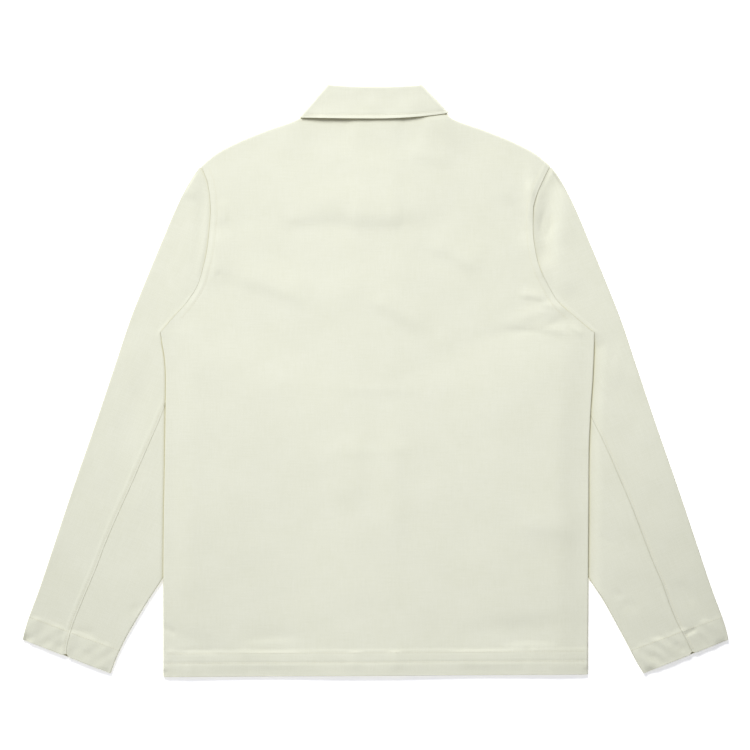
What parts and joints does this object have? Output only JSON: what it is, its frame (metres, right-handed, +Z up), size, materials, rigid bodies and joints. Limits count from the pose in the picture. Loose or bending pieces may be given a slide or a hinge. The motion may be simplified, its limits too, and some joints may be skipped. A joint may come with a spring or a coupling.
{
  "type": "chore jacket",
  "caption": "Canvas chore jacket with a folded collar, two-piece sleeves, hip patch pockets and a buttoned front, lying flat with its back up.",
  "frame": {"origin": "on the table under the middle of the jacket's box, as it lies", "axes": "+X to the right as seen from above, which is the wearer's right; +Y from the hem to the collar; +Z up off the table, out of the jacket's back"},
  "size_m": [0.94, 0.7902, 0.0109],
  "materials": {
    "canvas": "matte plain-woven cotton canvas, undyed",
    "thread": "twisted polyester topstitching thread",
    "button": "tumbled polyester resin"
  },
  "bodies": {
    "root": {"back": "canvas", "front_left": "canvas", "front_right": "canvas", "top_sleeve_left": "canvas", "top_sleeve_right": "canvas", "under_sleeve_left": "canvas", "under_sleeve_right": "canvas", "collar_fall": "canvas", "collar_stand": "canvas", "pocket_left": "canvas", "pocket_right": "canvas", "button_1": "button", "button_2": "button", "button_3": "button", "button_4": "button", "button_5": "button"}
  },
  "joints": []
}
